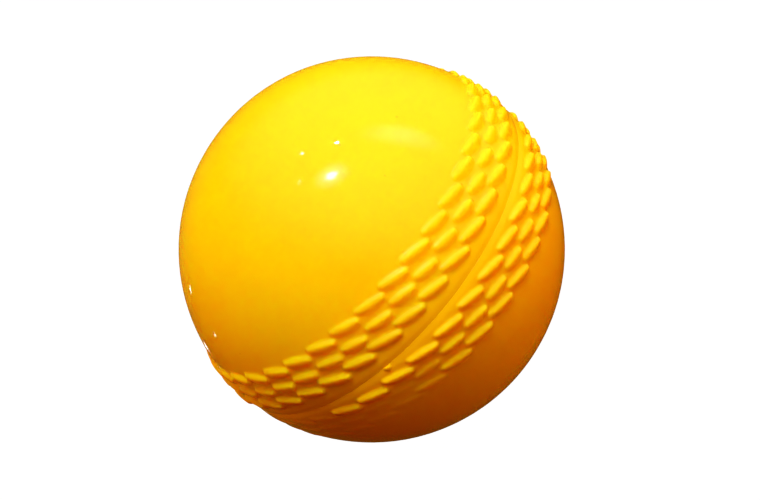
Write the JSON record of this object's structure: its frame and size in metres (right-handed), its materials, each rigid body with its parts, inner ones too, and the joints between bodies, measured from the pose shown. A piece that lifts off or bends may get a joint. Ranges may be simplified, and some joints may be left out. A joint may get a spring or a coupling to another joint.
{
  "type": "cricket training ball",
  "caption": "Full-size moulded cricket training ball: two glossy yellow half covers with raised seam pips, bonded round a cork and rubber core.",
  "frame": {"origin": "centre of the ball", "axes": "+Z through the middle of the plain upper cover, square to the seam; the seam lies round the XY plane; +X and +Y are any two directions in it"},
  "size_m": [0.0736, 0.0735, 0.072],
  "materials": {
    "yellow_plastic": "smooth moulded gloss, lightly rippled",
    "cement": "dried amber cement",
    "cork_rubber": "matt moulded cork and rubber granules"
  },
  "bodies": {
    "root": {"cover_upper": "yellow_plastic", "cover_lower": "yellow_plastic", "seam_bond": "cement", "core": "cork_rubber"}
  },
  "joints": []
}
